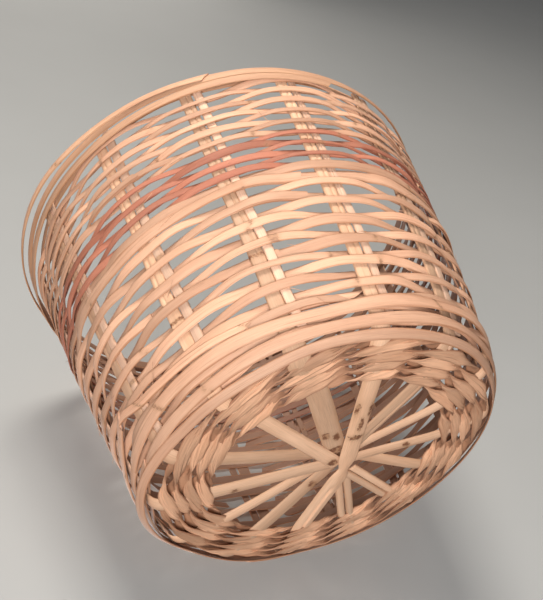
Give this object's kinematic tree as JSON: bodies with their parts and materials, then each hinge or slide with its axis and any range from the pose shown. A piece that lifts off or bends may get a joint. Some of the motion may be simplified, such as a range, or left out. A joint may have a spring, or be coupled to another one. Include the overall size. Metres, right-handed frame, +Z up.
{
  "type": "woven cane laundry basket",
  "caption": "Round open hand-woven basket of split cane with a star base, flared wall and a reddish band; made without a lid.",
  "frame": {"origin": "centre of the base, at the level it stands on", "axes": "+Z up along the basket's axis to the mouth; the loose rim strip is on the +X, +Y side"},
  "size_m": [0.3642, 0.3693, 0.258],
  "materials": {
    "split_stick": "satin split wood",
    "bye_stake": "satin split wood",
    "twined_strand": "creased cane",
    "tan_strip": "flat cane",
    "red_strip": "flat reddish cane",
    "rim_strip": "flat cane"
  },
  "bodies": {
    "root": {"stick_c_l": "split_stick", "stick_i_f": "split_stick", "stick_k_d": "split_stick", "stick_j_e": "split_stick", "stick_h_g": "split_stick", "thick_arm_a": "split_stick", "thick_arm_b": "split_stick", "doubled_arm_m": "split_stick", "doubled_arm_n": "split_stick", "bye_stake_01": "bye_stake", "bye_stake_02": "bye_stake", "bye_stake_03": "bye_stake", "bye_stake_04": "bye_stake", "bye_stake_05": "bye_stake", "bye_stake_06": "bye_stake", "bye_stake_07": "bye_stake", "bye_stake_08": "bye_stake", "bye_stake_09": "bye_stake", "bye_stake_10": "bye_stake", "bye_stake_11": "bye_stake", "bye_stake_12": "bye_stake", "bye_stake_13": "bye_stake", "bye_stake_14": "bye_stake", "base_row_1": "twined_strand", "base_row_2": "twined_strand", "base_row_3": "twined_strand", "base_row_4": "twined_strand", "corner_strip": "tan_strip", "corner_wrap_low": "tan_strip", "corner_wrap_high": "tan_strip", "rising_strip": "tan_strip", "falling_strip": "tan_strip", "course_01": "tan_strip", "course_02": "tan_strip", "course_03": "tan_strip", "course_04": "tan_strip", "course_05": "tan_strip", "course_06": "tan_strip", "course_07": "tan_strip", "course_08": "tan_strip", "red_course_09": "red_strip", "red_course_10": "red_strip", "red_course_11": "red_strip", "course_12": "tan_strip", "course_13": "tan_strip", "course_14": "tan_strip", "course_15": "tan_strip", "course_16": "tan_strip", "rim_outer_strip": "rim_strip", "rim_inner_strip": "rim_strip", "loose_rim_strip": "rim_strip"}
  },
  "joints": []
}
